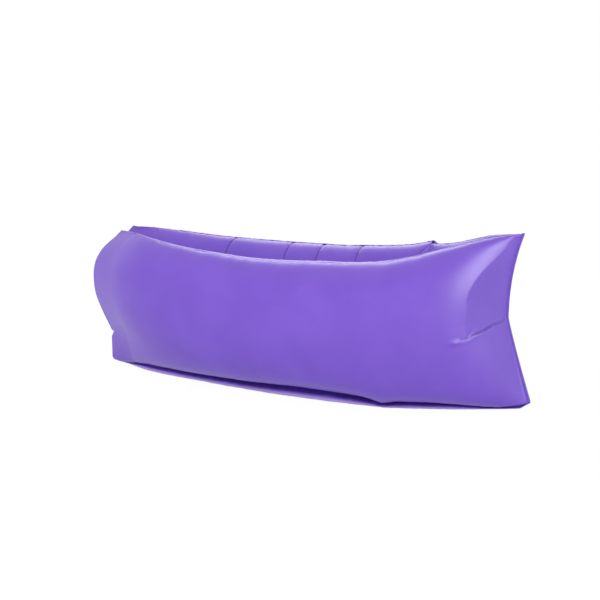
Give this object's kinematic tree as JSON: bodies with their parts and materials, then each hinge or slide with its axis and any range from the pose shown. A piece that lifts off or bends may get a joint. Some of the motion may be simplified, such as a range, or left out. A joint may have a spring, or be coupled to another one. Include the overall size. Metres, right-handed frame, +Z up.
{
  "type": "inflatable air lounger",
  "caption": "Filled air lounger: side-by-side fabric air chambers form a valley to lie in, with a sewn fin at one end and a rolled mouth held by a webbing and buckle at the other.",
  "frame": {"origin": "centre of the underside of the base, on the surface that the lounger rests on", "axes": "+X towards the closed end with the sewn fin, +Z up, -Y towards the front chamber, the one that faces the picture's viewer"},
  "size_m": [1.9346, 0.757, 0.664],
  "materials": {
    "purple_taffeta": "smooth satin taffeta",
    "binding_tape": "woven matte tape",
    "liner_film": "thin translucent film",
    "webbing": "woven webbing",
    "stiffener_plastic": "smooth",
    "buckle_plastic": "fine moulded texture"
  },
  "bodies": {
    "lounger_body": {"base_panel": "purple_taffeta", "buckle_socket": "buckle_plastic", "centre_seam_tape": "binding_tape", "end_binding": "binding_tape", "front_inner_panel_1": "purple_taffeta", "front_inner_panel_2": "purple_taffeta", "front_inner_panel_3": "purple_taffeta", "front_inner_panel_4": "purple_taffeta", "front_inner_panel_5": "purple_taffeta", "front_inner_panel_6": "purple_taffeta", "front_liner": "liner_film", "front_outer_panel": "purple_taffeta", "front_ridge_tape": "binding_tape", "front_stiffener": "stiffener_plastic", "lower_webbing": "webbing", "mouth_roll": "purple_taffeta", "rear_inner_panel_1": "purple_taffeta", "rear_inner_panel_2": "purple_taffeta", "rear_inner_panel_3": "purple_taffeta", "rear_inner_panel_4": "purple_taffeta", "rear_inner_panel_5": "purple_taffeta", "rear_inner_panel_6": "purple_taffeta", "rear_liner": "liner_film", "rear_outer_panel": "purple_taffeta", "rear_ridge_tape": "binding_tape", "rear_stiffener": "stiffener_plastic", "upper_webbing": "webbing"},
    "plug": {"buckle_plug": "buckle_plastic"},
    "left_prong": {"buckle_prong_left": "buckle_plastic"},
    "right_prong": {"buckle_prong_right": "buckle_plastic"}
  },
  "joints": [
    {"name": "buckle_release", "type": "slide", "parent": "lounger_body", "child": "plug", "axis": [0, 0, -1], "range_m": [0, 0.03], "deforming": ["lower_webbing", "buckle_prong_left", "buckle_prong_right"]},
    {"name": "left_prong_flex", "type": "hinge", "parent": "plug", "child": "left_prong", "pos_m": [-0.8812, 0.15324, 0.3449], "axis": [0.5878, 0.809, 0], "range_deg": [0, 8], "stiffness_Nm_per_rad": 0.2},
    {"name": "right_prong_flex", "type": "hinge", "parent": "plug", "child": "right_prong", "pos_m": [-0.86243, 0.1396, 0.3449], "axis": [-0.5878, -0.809, 0], "range_deg": [0, 8], "stiffness_Nm_per_rad": 0.2}
  ]
}
